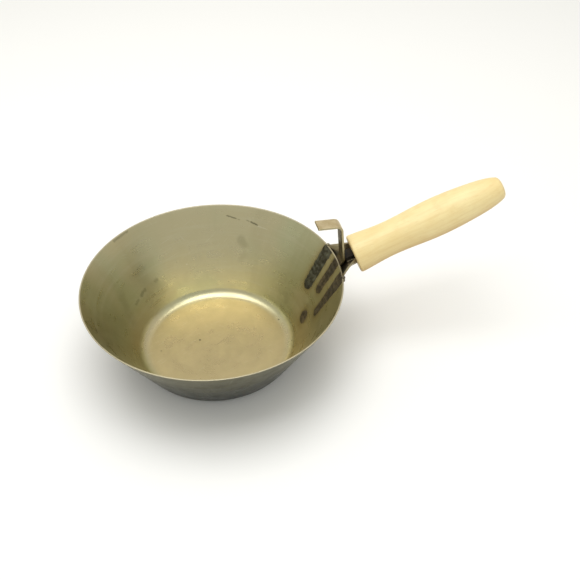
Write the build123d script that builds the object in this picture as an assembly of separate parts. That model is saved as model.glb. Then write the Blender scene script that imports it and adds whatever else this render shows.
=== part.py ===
from build123d import *
from math import asin, atan2, cos, pi, radians, sin, sqrt, tan
import os

# A small conical steel pan with a turned wooden handle and a hanging hook, welded up from sheet and strip.
# Millimetres. Origin at the centre of the flat underside, +Z up, +X towards the handle.

# ---- pan ----
rim_radius = 101.5
pan_height = 68.8
floor_corner_radius = 61.5      # where the wall and floor lines would meet
corner_bend_radius = 11.0       # outside of the bend between floor and wall
sheet = 1.0
rim_edge_round = 0.25

# ---- handle ----
handle_tilt = 19.6              # degrees above level
handle_face_x = 114.0           # centre of the handle's inner end face
handle_face_z = 72.1
handle_length = 128.0
handle_face_radius = 13.9       # flat part of the inner end face
handle_collar_radius = 15.5
handle_shoulder_radius = 14.5
handle_waist_radius = 13.7
handle_belly_radius = 15.25
handle_neck_radius = 11.4       # where the belly starts to close in to the tip
handle_tip_corner_radius = 9.3
handle_tip_radius = 6.6
tip_dome = 0.8
tip_round = 4.0                 # turned corner between the grip and the domed end
shoulder_at = 15.0              # places along the handle, from its inner face
waist_at = 30.0
belly_at = 67.0
second_waist_at = 101.0
neck_at = 117.5
tip_corner_at = 124.6

# ---- tang ----
tang_width = 9.0
tang_thickness = 4.2
tang_tip_width = 6.0
tang_tip_thickness = 3.0
tang_in_handle = 78.0
tang_in_trough = 7.0
tang_point = 6.0
mortise_gap = 0.05
mortise_extra_depth = 4.0

# ---- bracket ----
plate = 1.5
trough_below_axis = 1.95        # underside of the trough below the handle's axis, at the handle
trough_above_axis = 4.65        # top edges above the axis, at the handle
trough_end_half = 8.6
trough_end_top_half = 10.6
trough_straight = 7.2           # length of trough that runs along the handle's axis
trough_bend_half = 9.1
rim_edge_half = 20.3            # half width between the two side welds at the rim
rim_edge_rise = 0.5             # top edges above the rim, where they meet it
foot_drop = 34.0                # how far down the wall the side plates reach
foot_half = 12.2
foot_flare = 2.8                # extra half width of the foot's edges against its floor
foot_depth = 3.4                # how far the plate stands off the wall at the foot
rim_floor_drop = 7.2            # where the trough's floor turns away from the wall
rim_floor_depth = 6.2
rim_floor_half = 10.1
tongue_drop = 50.0              # lower tip of the bracket, below the rim
tongue_half = 4.5
into_wall = 1.5                 # how far the plate is carried into the wall before trimming
edge_overrun = 0.22             # share by which the top edges start inside the wall before trimming

# ---- hook ----
strip_width = 11.0
strip_thickness = 1.8
strip_edge_round = 0.4
hook_foot_drop = 26.0
hook_rim_gap = 2.25             # between the rim and the strip's inner face
hook_top_gap = -0.5             # the same at the top, where the strip leans over the pan
hook_rise = 37.4                # outside of the top bend above the rim
hook_reach = 19.5               # length of the top leg, from the outside of its bend
hook_leg_tilt = 4.5             # degrees that the top leg climbs towards its tip
hook_corner_bend = 4.7          # bend radii on the strip's centre line
hook_rim_bend = 6.0

# ---- welds ----
side_bead = 1.9
side_bead_pitch = 2.3
foot_bead = 1.3
foot_bead_pitch = 1.9
tang_bead = 1.2
tang_bead_pitch = 1.7
rim_knob = 1.5
tack_bead = 2.6
weld_off = 0.9                  # centre of a side weld, outside the plate's edge
weld_lift = 0.6                 # and off the wall
tack_across = -3.0
hook_foot_weld_top = 8.0        # upper end of the hook's foot welds, below the rim

# ---- weld roots, on the inside of the pan: (depth below the rim, across) at both ends ----
root_rise = 0.8                 # how far a root stands up from the wall
left_root_ends = ((4.0, 17.6), (31.0, 13.7))
middle_root_ends = ((3.2, -0.3), (25.4, -1.0))
right_root_ends = ((3.6, -20.4), (28.4, -15.8))
left_root_widths = (11.2, 10.4)
middle_root_widths = (8.7, 8.1)
right_root_widths = (12.4, 9.2)
root_cap_pitch = 3.8
root_wander = 0.4
right_root_end_drop = (34.0, -16.9, 7.2)    # depth, across and width of the last drop
tack_root_drop = (49.7, -5.6, 9.3)

# ---- worked out from the above ----
lean = atan2(rim_radius - floor_corner_radius, pan_height)
rim_z = pan_height
tilt = radians(handle_tilt)
handle_plane = Plane(
    origin=(handle_face_x, 0, handle_face_z),
    x_dir=(-sin(tilt), 0, cos(tilt)),
    z_dir=(cos(tilt), 0, sin(tilt)),
)


def wall_radius(drop):
    """Outside radius of the pan's wall, at a depth below the rim."""
    return rim_radius - drop * tan(lean)


def wall_line(drop, off):
    """Point in the XZ plane, off the outside of the wall along its outward normal."""
    return (wall_radius(drop) + off * cos(lean), rim_z - drop - off * sin(lean))


def on_wall(drop, across, off=0.0):
    """Point off the wall's outside, a distance across from the handle's plane of symmetry."""
    radius = wall_radius(drop) + off * cos(lean)
    return Vector(sqrt(radius**2 - across**2), across, rim_z - drop - off * sin(lean))


def along_handle(axial, up):
    """Point in the XZ plane, from the centre of the handle's inner face."""
    return (
        handle_face_x + axial * cos(tilt) - up * sin(tilt),
        handle_face_z + axial * sin(tilt) + up * cos(tilt),
    )


def revolve_profile(path):
    return revolve(make_face(Plane.XZ * path), Axis.Z)


def outside_of_pan(extra_height=0.0):
    """Solid inside the pan's outer surface, with the wall's line carried on above the rim."""
    top = rim_z + extra_height
    skin = FilletPolyline(
        (0, 0), (floor_corner_radius, 0), (rim_radius + extra_height * tan(lean), top),
        radius=corner_bend_radius,
    )
    closing = Polyline((rim_radius + extra_height * tan(lean), top), (0, top), (0, 0))
    return revolve_profile(skin + closing)


def inside_of_pan(extra_height=0.0):
    """Solid that fills the pan, up to the rim or past it."""
    top = rim_z + extra_height
    step = sheet / cos(lean)
    corner = floor_corner_radius + sheet * tan(lean) - step
    edge = rim_radius - step + extra_height * tan(lean)
    skin = FilletPolyline((0, sheet), (corner, sheet), (edge, top), radius=corner_bend_radius - sheet)
    closing = Polyline((edge, top), (0, top), (0, sheet))
    return revolve_profile(skin + closing)


def make_pan():
    pan = outside_of_pan() - inside_of_pan(5.0)
    rim_edges = [e for e in pan.edges() if abs(e.center().Z - rim_z) < 0.01 and e.length > 100]
    return fillet(rim_edges, rim_edge_round)


def make_handle():
    """Turned grip: collar, waist, belly, and a taper to a small, slightly domed end."""
    round_off = handle_collar_radius - handle_face_radius
    face = Line((0, 0), (handle_face_radius, 0))
    shoulder = RadiusArc(face @ 1, (handle_collar_radius, round_off * 1.25), -round_off * 1.15)
    grip = Spline(
        shoulder @ 1,
        (handle_shoulder_radius, shoulder_at),
        (handle_waist_radius, waist_at),
        (handle_belly_radius, belly_at),
        (handle_waist_radius, second_waist_at),
        (handle_neck_radius, neck_at),
        (handle_tip_corner_radius, tip_corner_at),
        tangents=((-0.02, 1), (-0.45, 1)),
    )
    nose = RadiusArc(grip @ 1, (handle_tip_radius, handle_length - tip_dome), -tip_round)
    dome = Spline(nose @ 1, (0, handle_length), tangents=((-1, 0.2), (-1, 0)))
    axis_line = Line((0, handle_length), (0, 0))
    profile = make_face(Plane.XZ * (face + shoulder + grip + nose + dome + axis_line))
    grip_solid = handle_plane * revolve(profile, Axis.Z)
    return grip_solid - tang_solid(mortise_gap, mortise_extra_depth)


def tang_section(axial, width, thickness, gap):
    """Rectangle that lies on the trough's floor, which is a plate's thickness above its underside."""
    rest = -trough_below_axis + plate
    middle = rest + thickness / 2
    place = handle_plane * Location((middle, 0, axial))
    return place * Rectangle(thickness + 2 * gap, width + 2 * gap)


def tang_solid(gap=0.0, extra=0.0):
    """Flat steel spike: parallel in the trough, tapered inside the handle, with a blunt point."""
    start = -tang_in_trough if gap == 0 else 0.0
    root = loft([
        tang_section(start, tang_width, tang_thickness, gap),
        tang_section(1.0, tang_width, tang_thickness, gap),
    ])
    spike = loft([
        tang_section(1.0, tang_width, tang_thickness, gap),
        tang_section(tang_in_handle - tang_point + extra, tang_tip_width, tang_tip_thickness, gap),
    ])
    point = loft([
        tang_section(tang_in_handle - tang_point + extra, tang_tip_width, tang_tip_thickness, gap),
        tang_section(tang_in_handle + extra, tang_tip_width / 2, tang_tip_thickness / 2, gap),
    ])
    return root + spike + point


def trough_stations():
    """Cross-sections from the tongue to the handle, as floor point, half width, edge point, half width."""
    end_floor = along_handle(0, -trough_below_axis)
    end_edge = along_handle(0, trough_above_axis)
    bend_floor = along_handle(-trough_straight, -trough_below_axis)
    rim_floor = wall_line(rim_floor_drop, rim_floor_depth)
    rim_point = on_wall(0, rim_edge_half)
    edge_z = rim_z + rim_edge_rise
    inner_edge = (
        rim_point.X + edge_overrun * (rim_point.X - end_edge[0]),
        edge_z + edge_overrun * (edge_z - end_edge[1]),
    )
    inner_half = rim_edge_half + edge_overrun * (rim_edge_half - trough_end_top_half)
    middle_edge = tuple((a + b) / 2 for a, b in zip(inner_edge, end_edge))
    middle_half = (inner_half + trough_end_top_half) / 2
    tongue_low, tongue_high = wall_line(tongue_drop, plate), wall_line(tongue_drop, -into_wall)
    foot_low, foot_high = wall_line(foot_drop, foot_depth), wall_line(foot_drop, -into_wall - 1.0)
    foot_edge_half = foot_half + 0.8
    return [
        (tongue_low, tongue_half, tongue_high, tongue_half),
        (foot_low, foot_edge_half - foot_flare, foot_high, foot_edge_half),
        (rim_floor, rim_floor_half, inner_edge, inner_half),
        (bend_floor, trough_bend_half, middle_edge, middle_half),
        (end_floor, trough_end_half, end_edge, trough_end_top_half),
    ]


def quad(floor_point, floor_half, edge_point, edge_half):
    corners = [
        (floor_point[0], -floor_half, floor_point[1]),
        (floor_point[0], floor_half, floor_point[1]),
        (edge_point[0], edge_half, edge_point[1]),
        (edge_point[0], -edge_half, edge_point[1]),
    ]
    return make_face(Polyline(*corners, close=True))


def inner_quad(floor_point, floor_half, edge_point, edge_half):
    """The same section moved in by the plate's thickness, and carried on past the edges."""
    rise = Vector(edge_point[0] - floor_point[0], 0, edge_point[1] - floor_point[1])
    height = rise.length
    up = rise / height
    slope = (edge_half - floor_half) / height
    inset = plate * sqrt(1 + slope**2)
    past_edge = 2.0

    def corner(level):
        spot = Vector(floor_point[0], 0, floor_point[1]) + up * level
        return (spot.X, spot.Z), floor_half + slope * level - inset

    low_point, low_half = corner(plate)
    high_point, high_half = corner(height + past_edge)
    return quad(low_point, low_half, high_point, high_half)


def make_bracket():
    """Folded plate: a tongue and two side plates down the wall, and a trough that runs to the handle."""
    stations = trough_stations()
    outer = loft([quad(*s) for s in stations], ruled=True)
    open_end = stations[-1]
    past_end = 1.0
    beyond = (
        (open_end[0][0] + past_end * cos(tilt), open_end[0][1] + past_end * sin(tilt)),
        open_end[1],
        (open_end[2][0] + past_end * cos(tilt), open_end[2][1] + past_end * sin(tilt)),
        open_end[3],
    )
    hollow = loft([inner_quad(*s) for s in stations[1:] + [beyond]], ruled=True)
    return outer - hollow - outside_of_pan(12.0)


def make_hook():
    """One flat strip: a foot on the wall, a bend at the rim, an upright and a short leg over the pan."""
    half = strip_thickness / 2
    foot_end = wall_line(hook_foot_drop, half)
    top_z = rim_z + hook_rise - half
    upright_low = (rim_radius + hook_rim_gap + half, rim_z)
    upright_high = (rim_radius + hook_top_gap + half, top_z)
    slope = (upright_high[0] - upright_low[0]) / (top_z - rim_z)
    wall_at_rim = wall_line(0, half)
    rise = (wall_at_rim[0] - upright_low[0] + (rim_z - wall_at_rim[1]) * tan(lean)) / (slope - tan(lean))
    bend = (upright_low[0] + slope * rise, rim_z + rise)
    tip_x = upright_high[0] + half - hook_reach
    tip = (tip_x, top_z + (upright_high[0] - tip_x) * tan(radians(hook_leg_tilt)))
    path = Plane.XZ * FilletPolyline(
        foot_end, bend, upright_high, tip, radius=[hook_rim_bend, hook_corner_bend]
    )
    start = Plane(origin=path @ 0, x_dir=(0, 1, 0), z_dir=path % 0)
    return sweep(start * RectangleRounded(strip_width, strip_thickness, strip_edge_round), path)


def run(start, end, pitch):
    """Evenly spaced points from start to end."""
    start, end = Vector(*start), Vector(*end)
    count = max(2, round((end - start).length / pitch) + 1)
    return [start + (end - start) * (i / (count - 1)) for i in range(count)]


def join(solids):
    return solids[0] + solids[1:] if len(solids) > 1 else solids[0]


def keep_largest(shape):
    return max(shape.solids(), key=lambda s: s.volume)


def ball(centre, radius):
    """Sphere with its seam turned away from the pan's own axes, which keeps the trimming clean."""
    return Pos(*centre) * Rot(20, 35, 50) * Sphere(radius)


def trim(solid, *neighbours):
    for neighbour in neighbours:
        solid = keep_largest(solid - neighbour)
    return solid


def bead(points, radius, *neighbours):
    """Weld bead: overlapping drops of metal along a run of points, trimmed to what they lie on."""
    drops = [trim(ball(p, radius), *neighbours) for p in points]
    return keep_largest(join(drops))


def make_side_weld(bracket, pan):
    """Bead down the outside of the right side plate, with a knob where it wraps over the rim."""
    low = on_wall(foot_drop + 1.0, -foot_half - weld_off, weld_lift)
    high = on_wall(2.0, -rim_edge_half - weld_off, weld_lift)
    beads = bead(run(low, high, side_bead_pitch), side_bead, outside_of_pan(0), bracket)
    knob_place = on_wall(0.2, -rim_edge_half - 0.6, 0.1)
    knob = trim(ball(knob_place, rim_knob), pan, bracket)
    return beads + knob


def make_tack(bracket):
    """One drop of weld at the tongue's lower tip."""
    spot = on_wall(tongue_drop + 0.8, tack_across, weld_lift)
    return bead([spot], tack_bead, outside_of_pan(0), bracket)


def make_foot_weld(hook, bracket):
    """A short bead along the right side of the hook's foot."""
    across = -strip_width / 2 - 0.3
    low = on_wall(hook_foot_drop - 1.5, across, 0.3)
    high = on_wall(hook_foot_weld_top, across, 0.3)
    return bead(run(low, high, foot_bead_pitch), foot_bead, outside_of_pan(0), hook, bracket)


def make_tang_weld(tang, bracket, handle):
    """A short bead along the right side of the tang, on the trough's floor."""
    level = -trough_below_axis + plate + 0.2
    across = -tang_width / 2 - 0.2
    ends = []
    for axial in (-tang_in_trough + 0.8, -tang_bead - 0.2):
        x, z = along_handle(axial, level)
        ends.append((x, across, z))
    return bead(run(ends[0], ends[1], tang_bead_pitch), tang_bead, tang, bracket, handle)


def both_sides(right):
    """The same bead on each side of the handle's plane of symmetry."""
    return [right, mirror(right, about=Plane.XZ)]


def root_cap(drop, across, width):
    """Shallow round cap of weld metal on the inside of the wall."""
    half = width / 2
    radius = (half**2 + root_rise**2) / (2 * root_rise)
    depth = radius - root_rise - sheet      # of the sphere's centre, outside the wall
    turn = asin(across / wall_radius(drop))
    reach = wall_radius(drop) + depth * cos(lean)
    centre = (reach * cos(turn), reach * sin(turn), rim_z - drop - depth * sin(lean))
    return Pos(*centre) * Sphere(radius)


def make_root(caps):
    """Strip of overlapping caps, trimmed to the pan's inner face."""
    return join([root_cap(*c) for c in caps]) & inside_of_pan(0)


def root_line(ends, widths, wander):
    """Caps from one (depth, across) place to another, wandering a little to each side."""
    start, end = ends
    count = round((end[0] - start[0]) / root_cap_pitch) + 1
    caps = []
    for i in range(count):
        part = i / (count - 1)
        drop = start[0] + (end[0] - start[0]) * part
        across = start[1] + (end[1] - start[1]) * part + wander * sin(2 * pi * part)
        width = widths[0] + (widths[1] - widths[0]) * part
        caps.append((drop, across, width * (1 + 0.06 * sin(5 * i))))
    return caps


def make_all():
    pan = make_pan()
    bracket = make_bracket()
    handle = make_handle()
    tang = tang_solid()
    hook = make_hook()
    right, left = both_sides(make_side_weld(bracket, pan))
    left_root = root_line(left_root_ends, left_root_widths, -root_wander)
    middle_root = root_line(middle_root_ends, middle_root_widths, root_wander)
    right_root = root_line(right_root_ends, right_root_widths, root_wander)
    return {
        "pan_bowl": pan,
        "handle_bracket": bracket,
        "wooden_handle": handle,
        "handle_tang": tang,
        "hanging_hook": hook,
        "bracket_weld_left": left,
        "bracket_weld_right": right,
        "bracket_tack_weld": make_tack(bracket),
        "hook_foot_welds": both_sides(make_foot_weld(hook, bracket)),
        "tang_welds": both_sides(make_tang_weld(tang, bracket, handle)),
        "weld_root_left": keep_largest(make_root(left_root) - left),
        "weld_root_middle": make_root(middle_root),
        "weld_root_right": keep_largest(make_root(right_root + [right_root_end_drop]) - right),
        "weld_root_tack": make_root([tack_root_drop]),
    }


os.makedirs("parts", exist_ok=True)
for name, shape in make_all().items():
    if isinstance(shape, list):
        shape = Compound(children=shape)
    export_step(shape, f"parts/{name}.step")
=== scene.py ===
import math

import bmesh
import bpy
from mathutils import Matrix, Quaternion, Vector, noise


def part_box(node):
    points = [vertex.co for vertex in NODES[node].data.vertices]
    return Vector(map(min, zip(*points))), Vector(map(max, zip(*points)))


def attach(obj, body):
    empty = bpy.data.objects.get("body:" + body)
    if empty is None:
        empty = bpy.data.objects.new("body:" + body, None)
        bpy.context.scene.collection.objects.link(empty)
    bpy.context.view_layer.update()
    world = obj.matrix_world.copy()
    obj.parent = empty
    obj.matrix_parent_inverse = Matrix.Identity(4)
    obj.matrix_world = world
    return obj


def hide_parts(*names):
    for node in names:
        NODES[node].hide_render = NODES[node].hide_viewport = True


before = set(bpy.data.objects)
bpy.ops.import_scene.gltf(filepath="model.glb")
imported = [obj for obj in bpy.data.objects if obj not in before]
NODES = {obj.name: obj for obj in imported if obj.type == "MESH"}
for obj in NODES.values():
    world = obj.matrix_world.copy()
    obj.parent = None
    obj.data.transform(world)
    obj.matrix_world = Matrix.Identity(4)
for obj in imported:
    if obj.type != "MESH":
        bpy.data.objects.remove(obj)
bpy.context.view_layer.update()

MM = 0.001

# ---- places read from the frame ----
_, pan_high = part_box("pan_bowl")
rim_radius = pan_high.x
rim_height = pan_high.z
_, hook_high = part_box("hanging_hook")
tang_low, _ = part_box("handle_tang")

# ---- dimensions of the design, in metres ----
sheet = 1.0 * MM
floor_corner_radius = 61.5 * MM
handle_tilt = math.radians(19.6)
handle_length = 128.0 * MM
handle_face_x = 114.0 * MM      # centre of the handle's inner end
handle_face_rise = 3.3 * MM     # the same, above the rim

wall_lean = math.atan2(rim_radius - floor_corner_radius, rim_height)
handle_axis = Vector((math.cos(handle_tilt), 0, math.sin(handle_tilt)))
handle_up = Vector((-math.sin(handle_tilt), 0, math.cos(handle_tilt)))
handle_face = Vector((handle_face_x, 0, rim_height + handle_face_rise))


def rgb(red, green, blue):
    return (red, green, blue, 1.0)


def wall_point(azimuth, height, lift=0.0):
    """Point on the inside of the pan's wall, or lifted off it into the pan."""
    radius = rim_radius - (rim_height - height) * math.tan(wall_lean) - sheet / math.cos(wall_lean)
    radius -= lift * math.cos(wall_lean)
    turn = math.radians(azimuth)
    return Vector((radius * math.cos(turn), radius * math.sin(turn), height + lift * math.sin(wall_lean)))


# ---------------------------------------------------------------------------
# Node graphs
# ---------------------------------------------------------------------------
class Graph:
    """A material's node tree, with short calls for the nodes that the materials here use."""

    def __init__(self, name, **surface):
        self.material = bpy.data.materials.new(name)
        self.material.use_nodes = True
        self.tree = self.material.node_tree
        self.shader = self.tree.nodes["Principled BSDF"]
        for socket, value in surface.items():
            self.shader.inputs[socket.replace("_", " ")].default_value = value
        self.place = self.node("ShaderNodeTexCoord").outputs["Object"]

    def node(self, kind, **settings):
        made = self.tree.nodes.new(kind)
        for key, value in settings.items():
            setattr(made, key, value)
        return made

    def feed(self, socket, value):
        if isinstance(value, bpy.types.NodeSocket):
            self.tree.links.new(value, socket)
        else:
            socket.default_value = value

    def math(self, operation, a, b=0.0, clamp=False):
        made = self.node("ShaderNodeMath", operation=operation, use_clamp=clamp)
        for socket, value in zip(made.inputs, (a, b)):
            self.feed(socket, value)
        return made.outputs[0]

    def vector(self, operation, a, b=(0, 0, 0), out="Vector", scale=1.0):
        made = self.node("ShaderNodeVectorMath", operation=operation)
        self.feed(made.inputs[0], a)
        self.feed(made.inputs[1], b)
        self.feed(made.inputs[3], scale)
        return made.outputs[out]

    def dot(self, a, b):
        return self.vector("DOT_PRODUCT", a, tuple(b), out="Value")

    def split(self, vector):
        made = self.node("ShaderNodeSeparateXYZ")
        self.feed(made.inputs[0], vector)
        return made.outputs

    def join(self, x, y, z):
        made = self.node("ShaderNodeCombineXYZ")
        for socket, value in zip(made.inputs, (x, y, z)):
            self.feed(socket, value)
        return made.outputs[0]

    def stretched(self, parts, scales):
        """Three coordinates, each with a scale of its own."""
        return self.join(*(self.math("MULTIPLY", part, scale) for part, scale in zip(parts, scales)))

    def outward(self, direction):
        """How far a face looks in a direction: 1 straight at it, -1 straight away."""
        normal = self.node("ShaderNodeNewGeometry").outputs["True Normal"]
        return self.vector("DOT_PRODUCT", normal, direction, out="Value")

    def noise(self, vector, scale, detail=4.0, roughness=0.55, distortion=0.0):
        made = self.node("ShaderNodeTexNoise")
        self.feed(made.inputs["Vector"], vector)
        made.inputs["Scale"].default_value = scale
        made.inputs["Detail"].default_value = detail
        made.inputs["Roughness"].default_value = roughness
        made.inputs["Distortion"].default_value = distortion
        return made.outputs["Fac"]

    def span(self, value, low, high, out_low=0.0, out_high=1.0):
        """Eases one stretch of values into another, clamped at both ends."""
        made = self.node("ShaderNodeMapRange", interpolation_type="SMOOTHSTEP")
        for socket, item in zip(made.inputs, (value, low, high, out_low, out_high)):
            self.feed(socket, item)
        return made.outputs["Result"]

    def mix(self, amount, a, b, blend="MIX"):
        made = self.node("ShaderNodeMix", data_type="RGBA", blend_type=blend)
        self.feed(made.inputs[0], amount)
        self.feed(made.inputs[6], a)
        self.feed(made.inputs[7], b)
        return made.outputs[2]

    def bump(self, height, strength, distance, normal=None):
        made = self.node("ShaderNodeBump")
        made.inputs["Strength"].default_value = strength
        made.inputs["Distance"].default_value = distance
        self.feed(made.inputs["Height"], height)
        if normal is not None:
            self.feed(made.inputs["Normal"], normal)
        return made.outputs["Normal"]

    def most(self, values):
        """The largest of several masks."""
        result = values[0]
        for value in values[1:]:
            result = self.math("MAXIMUM", result, value)
        return result

    def near(self, start, end, wobble=0.0, grain=None):
        """Distance in metres from the straight stretch between two points, made uneven by a noise."""
        start, end = Vector(start), Vector(end)
        along = end - start
        offset = self.vector("SUBTRACT", self.place, tuple(start))
        reach = max(along.length_squared, 1e-12)
        part = self.math("DIVIDE", self.dot(offset, along), reach, clamp=True)
        nearest = self.vector("SCALE", tuple(along), scale=part)
        distance = self.vector("LENGTH", self.vector("SUBTRACT", offset, nearest), out="Value")
        if grain is None:
            return distance
        return self.math("ADD", distance, self.math("MULTIPLY", self.math("SUBTRACT", grain, 0.5), wobble))

    def scratches(self, angle, length, spacing, rarity=0.66):
        """Sparse hairline scratches that run one way across the XY plane."""
        turn = math.radians(angle)
        along = self.dot(self.place, (math.cos(turn) / length, math.sin(turn) / length, 0))
        across = self.dot(self.place, (-math.sin(turn) / spacing, math.cos(turn) / spacing, 0.3 / spacing))
        lines = self.noise(self.join(along, across, 0.0), 1.0, detail=2.0)
        return self.span(lines, rarity, rarity + 0.05)

    def finish(self, colour, roughness, normal):
        self.feed(self.shader.inputs["Base Color"], colour)
        self.feed(self.shader.inputs["Roughness"], roughness)
        self.feed(self.shader.inputs["Normal"], normal)
        return self.material


# ---------------------------------------------------------------------------
# Colours
# ---------------------------------------------------------------------------
WALL_GREEN = rgb(0.465, 0.458, 0.285)
WALL_WARM = rgb(0.51, 0.455, 0.285)
WALL_LIGHT = rgb(0.58, 0.55, 0.39)
WALL_SHADE = rgb(0.30, 0.27, 0.15)
FLOOR_GOLD = rgb(0.51, 0.425, 0.235)
FLOOR_TAN = rgb(0.47, 0.395, 0.215)
# outside of the pan: oxide with painted shade, the low one darkest
OUTSIDE_SHADE_LOW = rgb(0.022, 0.024, 0.012)
OUTSIDE_SHADE_HIGH = rgb(0.185, 0.168, 0.085)
OXIDE_GREY = rgb(0.045, 0.048, 0.036)
SMUDGE = rgb(0.20, 0.18, 0.10)
SOOT = rgb(0.05, 0.05, 0.03)
HEAT_STRAW = rgb(0.42, 0.33, 0.16)
HEAT_BROWN = rgb(0.13, 0.10, 0.06)
BARE_STEEL = rgb(0.72, 0.69, 0.55)
RIM_HIGHLIGHT = rgb(0.55, 0.50, 0.36)
ROOT_GREEN_DARK = rgb(0.040, 0.036, 0.022)
ROOT_GREEN = rgb(0.125, 0.125, 0.085)
ROOT_BROWN_DARK = rgb(0.052, 0.040, 0.022)
ROOT_BROWN = rgb(0.150, 0.118, 0.066)
ROOT_SOOT = rgb(0.030, 0.030, 0.028)
ROOT_SPECK = rgb(0.24, 0.22, 0.15)
PLATE_DARK = rgb(0.34, 0.30, 0.185)
PLATE_LIGHT = rgb(0.47, 0.43, 0.29)
PLATE_SCORCH_SHADE = rgb(0.19, 0.135, 0.085)
PLATE_BURNT_SHADE = rgb(0.032, 0.026, 0.020)
PLATE_TINT = rgb(0.16, 0.125, 0.075)
STRIP_TAN = rgb(0.56, 0.455, 0.26)
STRIP_LIGHT = rgb(0.64, 0.54, 0.345)
STRIP_LINE = rgb(0.42, 0.34, 0.2)
STRIP_INNER_SHADE = rgb(0.115, 0.09, 0.05)
STRIP_EDGE_SHADE = rgb(0.36, 0.32, 0.19)
STRIP_BURNT = rgb(0.09, 0.068, 0.042)
SCALE_BLACK = rgb(0.012, 0.011, 0.010)
SCALE_BROWN = rgb(0.055, 0.042, 0.030)
BEAD_DARK = rgb(0.085, 0.070, 0.045)
BEAD_LIGHT = rgb(0.33, 0.29, 0.20)
BEAD_SOOT = rgb(0.06, 0.055, 0.05)
WOOD_CREAM = rgb(0.84, 0.70, 0.365)
WOOD_HONEY = rgb(0.80, 0.63, 0.30)
WOOD_RING = rgb(0.64, 0.43, 0.165)
WOOD_PORE = rgb(0.50, 0.32, 0.13)
WOOD_END = rgb(0.66, 0.47, 0.23)
WOOD_UNDERSIDE_SHADE = rgb(0.50, 0.31, 0.085)
PAPER = rgb(0.92, 0.92, 0.92)
ROOM_FRONT = rgb(0.75, 0.76, 0.72)
ROOM_BACK = rgb(0.78, 0.75, 0.68)


# ---------------------------------------------------------------------------
# Pan steel
# ---------------------------------------------------------------------------
# Marks inside the pan: (azimuth, mm below the rim) of both ends, then half width mm and strength.
DARK_MARKS = [
    ((72.0, 7.8), (67.2, 9.5), 0.9, 0.55),
    ((66.0, 10.0), (65.2, 10.3), 0.6, 0.4),
    ((61.6, 9.8), (60.0, 10.4), 0.6, 0.4),
    ((59.0, 10.7), (55.4, 12.1), 1.0, 0.65),
    ((132.0, 44.0), (136.5, 45.4), 2.2, 0.35),
    ((140.5, 46.2), (144.0, 47.0), 1.8, 0.25),
    ((121.0, 43.0), (122.0, 43.3), 2.6, 0.25),
    ((124.0, 0.8), (133.0, 1.2), 1.6, 0.3),
]
# Faint smudges: the same, with softer edges.
SMUDGES = [
    ((63.5, 25.0), (61.0, 28.5), 5.5, 0.28),
    ((62.5, 39.0), (60.0, 35.5), 4.0, 0.14),
    ((150.0, 35.0), (158.0, 53.0), 8.0, 0.2),
    ((20.0, 55.0), (23.0, 51.0), 4.0, 0.2),
    ((128.0, 40.0), (118.0, 52.0), 6.0, 0.15),
]
BRIGHT_MARKS = [
    ((55.0, 12.8), (49.5, 13.4), 0.6, 0.35),
    ((98.3, 40.9), (98.0, 41.0), 0.8, 0.6),
]
# Marks on the pan's floor and its bend: (x, y, height) mm, radius mm and strength.
FLOOR_MARKS = [
    ((-13.2, 8.7, 1.0), 1.3, 0.85),
    ((-11.4, -15.2, 1.0), 0.9, 0.25),
    ((-46.1, 4.6, 1.0), 1.1, 0.4),
    ((0.4, 0.6, 1.0), 0.9, 0.25),
    ((55.4, 15.1, 1.2), 1.1, 0.75),
    ((59.7, -13.4, 2.6), 1.0, 0.75),
]
FLOOR_SPECKS = [
    ((56.0, -19.0, 1.4), 1.0, 0.75),
    ((57.0, -21.0, 1.6), 0.7, 0.5),
]


def mark_mask(graph, marks, softness, grain):
    """Mask of the marks on the wall, each a short stretch with an uneven edge."""
    masks = []
    for start, end, half_width, strength in marks:
        first = wall_point(start[0], rim_height - start[1] * MM)
        last = wall_point(end[0], rim_height - end[1] * MM)
        gap = graph.near(first, last, half_width * 1.6 * MM, grain)
        masks.append(graph.span(gap, half_width * MM, half_width * softness * MM, 0.0, strength))
    return graph.most(masks)


def spot_mask(graph, marks, grain):
    """Mask of the spots on the floor and its bend."""
    masks = []
    for place, radius, strength in marks:
        spot = Vector(place) * MM
        gap = graph.near(spot, spot, radius * MM, grain)
        masks.append(graph.span(gap, radius * MM, radius * 0.3 * MM, 0.0, strength))
    return graph.most(masks)


def around_pan(graph):
    """Place as a direction round the axis and a distance up the profile, with the radius and height."""
    x, y, height = graph.split(graph.place)
    flat = graph.join(x, y, 0.0)
    radius = graph.vector("LENGTH", flat, out="Value")
    way = graph.vector("NORMALIZE", flat)
    cos_a, sin_a, _ = graph.split(way)
    climb = graph.math("ADD", height, graph.math("MULTIPLY", radius, 0.5))
    return way, cos_a, sin_a, climb, radius, height


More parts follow.
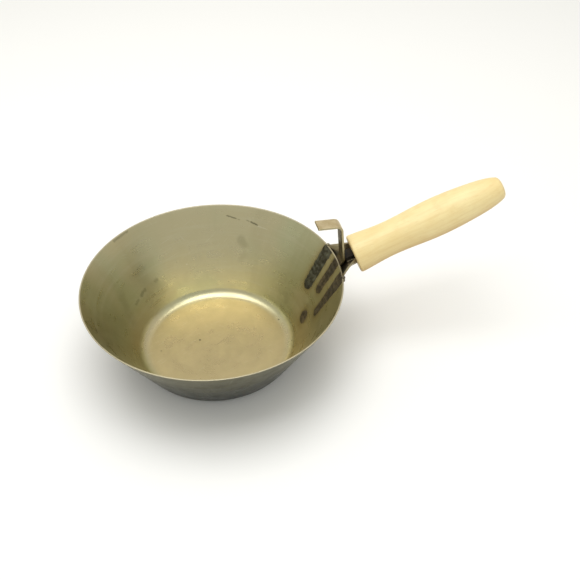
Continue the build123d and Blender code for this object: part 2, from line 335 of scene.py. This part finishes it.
def pan_steel():
    """Olive-toned rolled steel: wiped streaks round the wall, a golden floor, and outside a darker oxide
    with painted shade that deepens towards the bottom.
    """
    graph = Graph("pan_steel", Metallic=1.0)
    way, cos_a, sin_a, climb, radius, height = around_pan(graph)
    grain = graph.noise(graph.place, 700, detail=3)
    broad = graph.noise(graph.place, 16, detail=2)
    mottle = graph.noise(graph.place, 70, detail=4, roughness=0.6)
    streak_place = graph.join(cos_a, sin_a, graph.math("MULTIPLY", climb, 150.0))
    streaks = graph.noise(streak_place, 1.6, detail=5, roughness=0.6)
    hair_place = graph.join(cos_a, sin_a, graph.math("MULTIPLY", climb, 900.0))
    hairlines = graph.noise(hair_place, 3.0, detail=3)
    runs = graph.noise(graph.stretched((cos_a, sin_a, climb), (9.0, 9.0, 7.0)), 1.0, detail=3)

    # colour inside: olive wall, golden floor
    wall = graph.mix(graph.span(broad, 0.36, 0.64), WALL_GREEN, WALL_WARM)
    wall = graph.mix(graph.span(streaks, 0.46, 0.72, 0.0, 0.28), wall, WALL_LIGHT)
    wall = graph.mix(graph.span(runs, 0.5, 0.75, 0.0, 0.12), wall, WALL_SHADE)
    floor = graph.mix(graph.span(mottle, 0.35, 0.7), FLOOR_GOLD, FLOOR_TAN)
    on_floor = graph.span(radius, floor_corner_radius, floor_corner_radius - 9 * MM)
    inside = graph.mix(on_floor, wall, floor)

    # colour outside: oxide with painted shade, darker towards the bottom
    oxide_and_shade = graph.mix(graph.span(height, 0.0, rim_height), OUTSIDE_SHADE_LOW, OUTSIDE_SHADE_HIGH)
    oxide_and_shade = graph.mix(graph.span(mottle, 0.48, 0.72, 0.0, 0.45), oxide_and_shade, OXIDE_GREY)
    oxide_and_shade = graph.mix(graph.span(streaks, 0.5, 0.75, 0.0, 0.35), oxide_and_shade, WALL_SHADE)
    under = graph.span(height, 0.6 * MM, 0.2 * MM)
    outside = graph.math("MAXIMUM", graph.span(graph.outward(way), 0.05, 0.3), under)
    colour = graph.mix(outside, inside, oxide_and_shade)

    # marks, heat tint round the welds, and a painted highlight along the rim's top edge
    dots = spot_mask(graph, FLOOR_MARKS, grain)
    dark = graph.most([mark_mask(graph, DARK_MARKS, 0.25, grain), dots])
    smudge = mark_mask(graph, SMUDGES, 0.0, mottle)
    specks = spot_mask(graph, FLOOR_SPECKS, grain)
    bright = graph.most([mark_mask(graph, BRIGHT_MARKS, 0.3, grain), specks])
    colour = graph.mix(smudge, colour, SMUDGE)
    colour = graph.mix(heat_mask(graph, 9.0, mottle), colour, HEAT_STRAW)
    colour = graph.mix(heat_mask(graph, 3.0, mottle), colour, HEAT_BROWN)
    colour = graph.mix(dark, colour, SOOT)
    colour = graph.mix(bright, colour, BARE_STEEL)
    lines = graph.most([graph.scratches(25, 0.02, 0.0005), graph.scratches(-50, 0.016, 0.0006, 0.68)])
    colour = graph.mix(graph.math("MULTIPLY", lines, 0.3), colour, BARE_STEEL)
    # painted highlight: a lighter band along the top edge of the rim
    rim = graph.span(height, rim_height - 0.7 * MM, rim_height - 0.2 * MM, 0.0, 0.7)
    colour = graph.mix(rim, colour, RIM_HIGHLIGHT)

    roughness = graph.span(streaks, 0.3, 0.7, 0.27, 0.36)
    roughness = graph.math("ADD", roughness, graph.span(mottle, 0.35, 0.7, -0.03, 0.05))
    roughness = graph.math("ADD", roughness, graph.math("MULTIPLY", graph.most([dark, smudge]), 0.2))
    normal = graph.bump(broad, 0.25, 0.6 * MM)
    normal = graph.bump(hairlines, 0.12, 0.05 * MM, normal)
    normal = graph.bump(graph.math("SUBTRACT", grain, lines), 0.1, 0.02 * MM, normal)
    return graph.finish(colour=colour, roughness=roughness, normal=normal)


# ---------------------------------------------------------------------------
# Weld roots: rough strips of metal that came through the wall
# ---------------------------------------------------------------------------
# node: width mm at the rim and at the lower end, and the side to which the strip leans at the rim
ROOTS = {
    "weld_root_left": (11.2, 10.4, 1),
    "weld_root_middle": (8.7, 8.1, 0),
    "weld_root_right": (12.4, 7.4, -1),
    "weld_root_tack": (9.3, 9.3, 0),
}


def root_ends(node):
    """Ends of a root's centre line, as (depth below the rim, across), from the node's box."""
    top_width, low_width, side = ROOTS[node]
    low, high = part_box(node)
    depth_low = rim_height - low.z - low_width * 0.5 * MM * math.cos(wall_lean)
    depth_high = max(rim_height - high.z, 0.0) + top_width * 0.5 * MM * math.cos(wall_lean)
    if side < 0:
        across = (low.y + top_width * 0.5 * MM, high.y - top_width * 0.5 * MM)
    else:
        across = (high.y - top_width * 0.5 * MM, low.y + low_width * 0.5 * MM)
    if high.z > rim_height - 1.0 * MM:
        depth_high = 2.0 * MM
    return (depth_high, across[0]), (depth_low, across[1])


def across_point(depth, across):
    """Point on the inside of the wall, from its depth below the rim and its distance from the middle."""
    radius = rim_radius - depth * math.tan(wall_lean)
    return wall_point(math.degrees(math.asin(across / radius)), rim_height - depth)


def heat_mask(graph, reach, grain):
    """Where the steel beside the weld roots was heated, fading over a reach in mm."""
    masks = []
    for node in ROOTS:
        high_end, low_end = root_ends(node)
        half = ROOTS[node][1] * 0.5
        gap = graph.near(across_point(*high_end), across_point(*low_end), 5.0 * MM, grain)
        masks.append(graph.span(gap, (half + reach) * MM, half * 0.8 * MM, 0.0, 0.55))
    return graph.most(masks)


def root_height(depth, across, ends, widths, seed):
    """Height of a root's metal above the wall, in metres; below zero outside its outline."""
    (depth_a, across_a), (depth_b, across_b) = ends
    run = Vector((depth_b - depth_a, across_b - across_a))
    spot = Vector((depth - depth_a, across - across_a))
    part = min(max(spot.dot(run) / max(run.length_squared, 1e-12), 0.0), 1.0)
    gap = (spot - run * part).length / MM
    half = 0.5 * (widths[0] + (widths[1] - widths[0]) * part)
    place = Vector((depth / MM, across / MM, seed))
    half += 0.7 * noise.noise(place * 0.35) + 0.35 * noise.noise(place * 0.9)
    crown = 1.0 - (gap / half) ** 2
    ripple = 0.16 * math.sin(part * run.length / MM * 1.7 + gap * 0.5 + noise.noise(place * 0.2) * 2)
    rough = 0.35 * noise.noise(place * 0.55) + 0.18 * noise.noise(place * 1.6)
    if crown < 0:
        return crown * 0.6 * MM
    return (math.sqrt(crown) * (0.5 + ripple * crown + rough * crown)) * MM


def make_root_strip(node, seed):
    """A closed, rough skin of weld metal over the wall, sunk a little into the sheet."""
    ends = root_ends(node)
    top_width, low_width, _ = ROOTS[node]
    pitch = 0.4 * MM
    margin = 7.5 * MM           # round the centre line, wide enough for the outline
    rim_gap = 0.25 * MM
    sunk = -0.16 * MM           # depth in the sheet of the skin's edge
    keel = 2.2 * sunk           # depth of the skin's underside
    ceiling = 0.79 * MM         # just inside the CAD cap
    depth_low = max(min(ends[0][0], ends[1][0]) - margin, rim_gap)
    depth_high = max(ends[0][0], ends[1][0]) + margin
    across_low = min(ends[0][1], ends[1][1]) - margin
    across_high = max(ends[0][1], ends[1][1]) + margin
    rows = round((depth_high - depth_low) / pitch)
    columns = round((across_high - across_low) / pitch)
    mesh = bmesh.new()
    top, bottom = {}, {}

    def vertex(row, column):
        if (row, column) not in top:
            depth = depth_low + row * pitch
            across = across_low + column * pitch
            radius = rim_radius - depth * math.tan(wall_lean)
            azimuth = math.degrees(math.asin(across / radius))
            level = root_height(depth, across, ends, (top_width, low_width), seed)
            spot = wall_point(azimuth, rim_height - depth, min(max(level, sunk), ceiling))
            top[row, column] = mesh.verts.new(spot)
            bottom[row, column] = mesh.verts.new(wall_point(azimuth, rim_height - depth, keel))
        return top[row, column], bottom[row, column]

    def inside(row, column):
        depth = depth_low + (row + 0.5) * pitch
        across = across_low + (column + 0.5) * pitch
        return root_height(depth, across, ends, (top_width, low_width), seed) > sunk

    cells = {(r, c) for r in range(rows) for c in range(columns) if inside(r, c)}
    for row, column in sorted(cells):
        corners = [vertex(row + i, column + j) for i, j in ((0, 0), (0, 1), (1, 1), (1, 0))]
        mesh.faces.new([pair[0] for pair in corners])
        mesh.faces.new([pair[1] for pair in reversed(corners)])
        for side, (step_row, step_column) in enumerate(((-1, 0), (0, 1), (1, 0), (0, -1))):
            if (row + step_row, column + step_column) not in cells:
                a, b = corners[side], corners[(side + 1) % 4]
                mesh.faces.new((b[0], a[0], a[1], b[1]))
    bmesh.ops.recalc_face_normals(mesh, faces=mesh.faces)
    data = bpy.data.meshes.new(node + "_skin")
    mesh.to_mesh(data)
    mesh.free()
    for polygon in data.polygons:
        polygon.use_smooth = True
    strip = bpy.data.objects.new(node + "_skin", data)
    bpy.context.scene.collection.objects.link(strip)
    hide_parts(node)
    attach(strip, "root")
    return strip


def root_metal():
    """Burnt weld metal: dark brown, greener on the left root, with soot and lighter specks."""
    graph = Graph("weld_root_metal", Metallic=0.75)
    blotches = graph.noise(graph.place, 260, detail=4, roughness=0.6)
    specks = graph.noise(graph.place, 900, detail=3)
    broad = graph.noise(graph.place, 60, detail=2)
    green = graph.mix(graph.span(blotches, 0.36, 0.68), ROOT_GREEN_DARK, ROOT_GREEN)
    brown = graph.mix(graph.span(blotches, 0.36, 0.68), ROOT_BROWN_DARK, ROOT_BROWN)
    _, across, _ = graph.split(graph.place)
    towards_left = graph.span(across, 3 * MM, 10 * MM)
    colour = graph.mix(towards_left, brown, green)
    colour = graph.mix(graph.span(broad, 0.4, 0.65, 0.0, 0.35), colour, ROOT_SOOT)
    colour = graph.mix(graph.span(specks, 0.62, 0.75, 0.0, 0.5), colour, ROOT_SPECK)
    roughness = graph.span(blotches, 0.35, 0.65, 0.42, 0.62)
    normal = graph.bump(graph.math("ADD", blotches, graph.math("MULTIPLY", specks, 0.5)), 0.35, 0.25 * MM)
    return graph.finish(colour=colour, roughness=roughness, normal=normal)


# ---------------------------------------------------------------------------
# Bracket, hook, tang and beads
# ---------------------------------------------------------------------------
def bracket_steel():
    """Mill-finish plate, scorched where the tang and the hook were welded in, with painted shade in the
    trough round the tang.
    """
    graph = Graph("bracket_steel", Metallic=1.0)
    mottle = graph.noise(graph.place, 110, detail=4, roughness=0.6)
    grain = graph.noise(graph.place, 900, detail=3)
    colour = graph.mix(graph.span(mottle, 0.35, 0.66), PLATE_DARK, PLATE_LIGHT)
    tang_root = Vector((tang_low.x, 0, tang_low.z + 3 * MM))
    scorch_shade_start = tang_root - handle_axis * 12 * MM
    scorch_shade_end = tang_root + handle_axis * 6 * MM
    scorch_shade_gap = graph.near(scorch_shade_start, scorch_shade_end, 9 * MM, mottle)
    # scorch with painted shade: the trough round the tang root darkens to near black
    colour = graph.mix(graph.span(scorch_shade_gap, 14 * MM, 9 * MM, 0.0, 0.7), colour, PLATE_SCORCH_SHADE)
    colour = graph.mix(graph.span(scorch_shade_gap, 9 * MM, 5 * MM, 0.0, 0.92), colour, PLATE_BURNT_SHADE)
    welded = heat_mask(graph, 5.0, mottle)
    colour = graph.mix(welded, colour, PLATE_TINT)
    roughness = graph.span(mottle, 0.3, 0.7, 0.34, 0.5)
    normal = graph.bump(mottle, 0.2, 0.25 * MM)
    normal = graph.bump(grain, 0.2, 0.03 * MM, normal)
    return graph.finish(colour=colour, roughness=roughness, normal=normal)


def strip_steel():
    """Rolled strip: tan with lengthways lines, painted shade on the edges and on the inner face below the
    bend, and a burnt foot.
    """
    graph = Graph("strip_steel", Metallic=1.0)
    x, y, height = graph.split(graph.place)
    mottle = graph.noise(graph.place, 130, detail=4, roughness=0.6)
    lines = graph.noise(graph.stretched((y, x, height), (2500.0, 60.0, 60.0)), 1.0, detail=3)
    colour = graph.mix(graph.span(mottle, 0.36, 0.66), STRIP_TAN, STRIP_LIGHT)
    colour = graph.mix(graph.span(lines, 0.52, 0.7, 0.0, 0.3), colour, STRIP_LINE)
    # painted shade on the face towards the pan, below the bend
    towards_pan = graph.outward((-1, 0, 0))
    below_bend = graph.span(height, hook_high.z - 2 * MM, hook_high.z - 7 * MM)
    dark = graph.math("MULTIPLY", graph.span(towards_pan, 0.35, 0.8), below_bend)
    colour = graph.mix(graph.math("MULTIPLY", dark, 0.88), colour, STRIP_INNER_SHADE)
    # painted shade on the strip's sideways-facing edges
    sideways = graph.math("ABSOLUTE", graph.outward((0, 1, 0)))
    colour = graph.mix(graph.span(sideways, 0.5, 0.9, 0.0, 0.7), colour, STRIP_EDGE_SHADE)
    low = graph.span(height, rim_height + 7 * MM, rim_height - 3 * MM)
    low = graph.math("MULTIPLY", low, graph.span(mottle, 0.3, 0.55, 0.6, 1.0))
    colour = graph.mix(low, colour, STRIP_BURNT)
    roughness = graph.span(mottle, 0.3, 0.7, 0.3, 0.44)
    normal = graph.bump(mottle, 0.15, 0.2 * MM)
    normal = graph.bump(lines, 0.15, 0.03 * MM, normal)
    return graph.finish(colour=colour, roughness=roughness, normal=normal)


def forged_steel():
    """Black forge scale on the tang, with browner flakes."""
    graph = Graph("forged_steel", Metallic=0.55)
    flakes = graph.noise(graph.place, 240, detail=5, roughness=0.65)
    colour = graph.mix(graph.span(flakes, 0.4, 0.66), SCALE_BLACK, SCALE_BROWN)
    roughness = graph.span(flakes, 0.35, 0.65, 0.5, 0.75)
    normal = graph.bump(flakes, 0.6, 0.3 * MM)
    return graph.finish(colour=colour, roughness=roughness, normal=normal)


def weld_metal():
    """Beads: rough brown metal with lighter blotches and patches of soot."""
    graph = Graph("weld_metal", Metallic=0.9)
    blotches = graph.noise(graph.place, 420, detail=4, roughness=0.6)
    broad = graph.noise(graph.place, 80, detail=2)
    colour = graph.mix(graph.span(blotches, 0.36, 0.68), BEAD_DARK, BEAD_LIGHT)
    colour = graph.mix(graph.span(broad, 0.42, 0.65, 0.0, 0.5), colour, BEAD_SOOT)
    roughness = graph.span(blotches, 0.3, 0.7, 0.5, 0.34)
    normal = graph.bump(blotches, 0.5, 0.3 * MM)
    return graph.finish(colour=colour, roughness=roughness, normal=normal)


# ---------------------------------------------------------------------------
# Wood
# ---------------------------------------------------------------------------
def turned_wood():
    """Pale turned hardwood: long grain, fine pores, faint lathe lines, end grain, a thin varnish and
    painted shade on the underside.
    """
    graph = Graph("turned_wood", Metallic=0.0, Coat_Weight=0.08, Coat_Roughness=0.35)
    offset = graph.vector("SUBTRACT", graph.place, tuple(handle_face))
    along = graph.dot(offset, handle_axis)
    _, across, _ = graph.split(offset)
    up = graph.dot(offset, handle_up)
    warp = graph.noise(offset, 16, detail=2)
    bend = graph.math("MULTIPLY", graph.math("SUBTRACT", warp, 0.5), 9 * MM)
    ring_up = graph.math("ADD", graph.math("ADD", up, bend), 34 * MM)
    ring_across = graph.math("ADD", across, 9 * MM)
    ring_place = graph.join(graph.math("MULTIPLY", along, 0.03), ring_across, ring_up)
    ring = graph.vector("LENGTH", ring_place, out="Value")
    ring_spacing = 3.4 * MM
    wave = graph.math("SINE", graph.math("MULTIPLY", ring, 2 * math.pi / ring_spacing))
    rings = graph.span(wave, -0.2, 1.0)
    spot = (along, across, up)
    fibre = graph.noise(graph.stretched(spot, (30.0, 700.0, 700.0)), 1.0, detail=4, roughness=0.6)
    pores = graph.noise(graph.stretched(spot, (160.0, 2600.0, 2600.0)), 1.0, detail=1)
    broad = graph.noise(offset, 30, detail=3)
    colour = graph.mix(graph.span(broad, 0.35, 0.65), WOOD_CREAM, WOOD_HONEY)
    colour = graph.mix(graph.math("MULTIPLY", rings, 0.11), colour, WOOD_RING)
    colour = graph.mix(graph.span(fibre, 0.45, 0.75, 0.0, 0.2), colour, WOOD_RING)
    colour = graph.mix(graph.span(pores, 0.66, 0.76, 0.0, 0.35), colour, WOOD_PORE)
    inner_end = graph.span(along, 1.2 * MM, 0.1 * MM)
    outer_end = graph.span(along, handle_length - 3 * MM, handle_length - 0.8 * MM)
    ends = graph.most([inner_end, outer_end])
    colour = graph.mix(graph.math("MULTIPLY", ends, 0.45), colour, WOOD_END)
    past_collar = graph.span(along, 20 * MM, 60 * MM)
    before_tip = graph.span(along, 118 * MM, 85 * MM)
    handled = graph.math("MULTIPLY", past_collar, before_tip)
    stains = graph.noise(offset, 90, detail=4)
    grime = graph.math("MULTIPLY", handled, graph.span(stains, 0.5, 0.72, 0.0, 0.22))
    colour = graph.mix(grime, colour, WOOD_RING)
    # painted shade: the handle's underside darkens towards the bottom
    underside = graph.span(up, 1 * MM, -11 * MM, 0.0, 0.85)
    colour = graph.mix(underside, colour, WOOD_UNDERSIDE_SHADE)
    lathe = graph.noise(graph.join(graph.math("MULTIPLY", along, 900.0), 0.0, 0.0), 1.0, detail=2)
    roughness = graph.span(fibre, 0.3, 0.7, 0.4, 0.54)
    normal = graph.bump(graph.math("ADD", fibre, graph.math("MULTIPLY", pores, -0.8)), 0.15, 0.08 * MM)
    normal = graph.bump(lathe, 0.1, 0.05 * MM, normal)
    return graph.finish(colour=colour, roughness=roughness, normal=normal)


BEADS = ("bracket_weld_left", "bracket_weld_right", "bracket_tack_weld", "hook_foot_welds", "tang_welds")


def dress(node, material):
    """Gives a carried-over node its material."""
    data = NODES[node].data
    data.materials.clear()
    data.materials.append(material)


def dress_everything():
    dress("pan_bowl", pan_steel())
    dress("handle_bracket", bracket_steel())
    dress("hanging_hook", strip_steel())
    dress("handle_tang", forged_steel())
    dress("wooden_handle", turned_wood())
    beads = weld_metal()
    for node in BEADS:
        dress(node, beads)
    roots = root_metal()
    for number, node in enumerate(ROOTS):
        strip = make_root_strip(node, seed=3.7 + 11.3 * number)
        strip.data.materials.append(roots)


# ---------------------------------------------------------------------------
# Floor, light and camera
# ---------------------------------------------------------------------------
def make_floor():
    """A wide sheet of pale paper under the pan."""
    mesh = bpy.data.meshes.new("floor")
    grid = bmesh.new()
    bmesh.ops.create_grid(grid, x_segments=1, y_segments=1, size=3.0)
    grid.to_mesh(mesh)
    grid.free()
    floor = bpy.data.objects.new("floor", mesh)
    bpy.context.scene.collection.objects.link(floor)
    graph = Graph("floor_paper", Roughness=0.9)
    graph.shader.inputs["Base Color"].default_value = PAPER
    mesh.materials.append(graph.material)


def softbox(name, place, aim, size, power):
    light = bpy.data.lights.new(name, "AREA")
    light.shape = "RECTANGLE"
    light.size, light.size_y = size
    light.energy = power
    lamp = bpy.data.objects.new(name, light)
    bpy.context.scene.collection.objects.link(lamp)
    lamp.location = place
    lamp.rotation_mode = "QUATERNION"
    lamp.rotation_quaternion = (Vector(aim) - Vector(place)).to_track_quat("-Z", "Y")


def make_sky():
    """An even pale room, a little warmer behind the object than in front of it."""
    world = bpy.data.worlds.new("studio")
    bpy.context.scene.world = world
    world.use_nodes = True
    tree = world.node_tree
    background = tree.nodes["Background"]
    background.inputs["Strength"].default_value = 1.0
    place = tree.nodes.new("ShaderNodeTexCoord")
    parts = tree.nodes.new("ShaderNodeSeparateXYZ")
    tree.links.new(place.outputs["Generated"], parts.inputs[0])
    blend = tree.nodes.new("ShaderNodeMapRange")
    blend.inputs["From Min"].default_value = -0.6
    blend.inputs["From Max"].default_value = 0.6
    tree.links.new(parts.outputs["Y"], blend.inputs["Value"])
    mix = tree.nodes.new("ShaderNodeMix")
    mix.data_type = "RGBA"
    mix.inputs[6].default_value = ROOM_FRONT
    mix.inputs[7].default_value = ROOM_BACK
    tree.links.new(blend.outputs["Result"], mix.inputs[0])
    tree.links.new(mix.outputs[2], background.inputs["Color"])


def make_camera():
    """Looks from the front left, 42 degrees down, with a little roll."""
    data = bpy.data.cameras.new("camera")
    data.lens = 52.9
    data.sensor_width = 36.0
    roll = math.radians(0.63)
    data.clip_start = 0.01
    camera = bpy.data.objects.new("camera", data)
    bpy.context.scene.collection.objects.link(camera)
    place = Vector((-63.0 * MM, -491.9 * MM, rim_height + 433.8 * MM))
    aim = Vector((55.7 * MM, -24.1 * MM, rim_height))
    look = (aim - place).normalized()
    camera.location = place
    camera.rotation_mode = "QUATERNION"
    camera.rotation_quaternion = Quaternion(look, roll) @ look.to_track_quat("-Z", "Y")
    bpy.context.scene.camera = camera


dress_everything()
make_floor()
softbox("overhead", (-0.06, 0.04, 1.0), (0, 0.04, 0.0), (0.8, 0.85), 6.0)
make_sky()
make_camera()
bpy.context.scene.view_settings.view_transform = "Standard"
